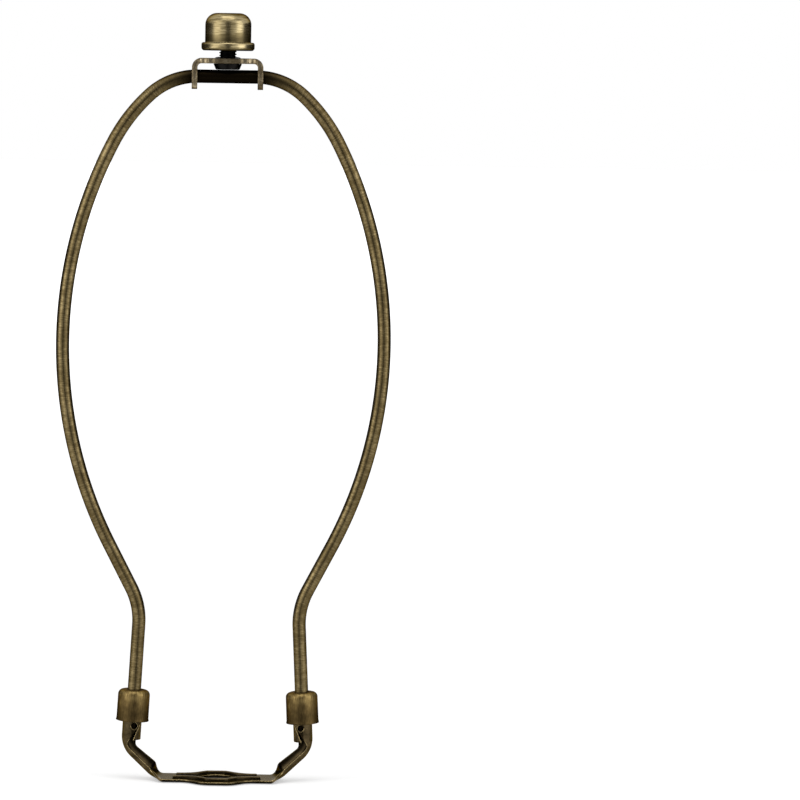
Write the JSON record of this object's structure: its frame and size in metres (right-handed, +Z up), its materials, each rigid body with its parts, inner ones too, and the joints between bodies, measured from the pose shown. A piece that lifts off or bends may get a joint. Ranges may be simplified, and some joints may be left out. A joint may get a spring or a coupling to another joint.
{
  "type": "lamp harp",
  "caption": "Bulb-shaped wire harp on a folded saddle with lift-up ferrules, a tilting top bracket and a threaded stud with a domed finial.",
  "frame": {"origin": "middle of the pipe hole, on the saddle's underside", "axes": "+Z up along the lamp's pipe, X across the two legs of the bow, Y through the bow's thickness"},
  "size_m": [0.1174, 0.026, 0.2697],
  "materials": {
    "saddle_bronze": "stamped steel, brass plated, darkened and brushed back",
    "wire_bronze": "steel wire, brass plated, darkened and brushed across its length",
    "ferrule_brass": "drawn steel, brass plated, darkened and brushed lengthways",
    "bracket_brass": "bent steel strap, brass plated, darkened and brushed back",
    "stud_black": "turned steel, blackened",
    "finial_brass": "turned brass, darkened and brushed round"
  },
  "bodies": {
    "frame": {"saddle": "saddle_bronze", "harp_wire": "wire_bronze"},
    "left_ferrule": {"ferrule_left": "ferrule_brass"},
    "right_ferrule": {"ferrule_right": "ferrule_brass"},
    "bracket": {"swivel_bracket": "bracket_brass"},
    "stud": {"threaded_stud": "stud_black"},
    "finial_knob": {"finial": "finial_brass"}
  },
  "joints": [
    {"name": "ferrule_left_lift", "type": "slide", "parent": "frame", "child": "left_ferrule", "axis": [0.0523, 0, 0.9986], "range_m": [0, 0.02]},
    {"name": "ferrule_right_lift", "type": "slide", "parent": "frame", "child": "right_ferrule", "axis": [-0.0523, 0, 0.9986], "range_m": [0, 0.02]},
    {"name": "bracket_tilt", "type": "hinge", "parent": "frame", "child": "bracket", "pos_m": [0, 0, 0.2476], "axis": [1, 0, 0], "continuous": true},
    {"name": "stud_swivel", "type": "hinge", "parent": "bracket", "child": "stud", "pos_m": [0, 0, 0.254], "axis": [0, 0, 1], "continuous": true},
    {"name": "finial_unscrew", "type": "slide", "parent": "stud", "child": "finial_knob", "axis": [0, 0, 1], "range_m": [-0.002, 0.012]}
  ]
}
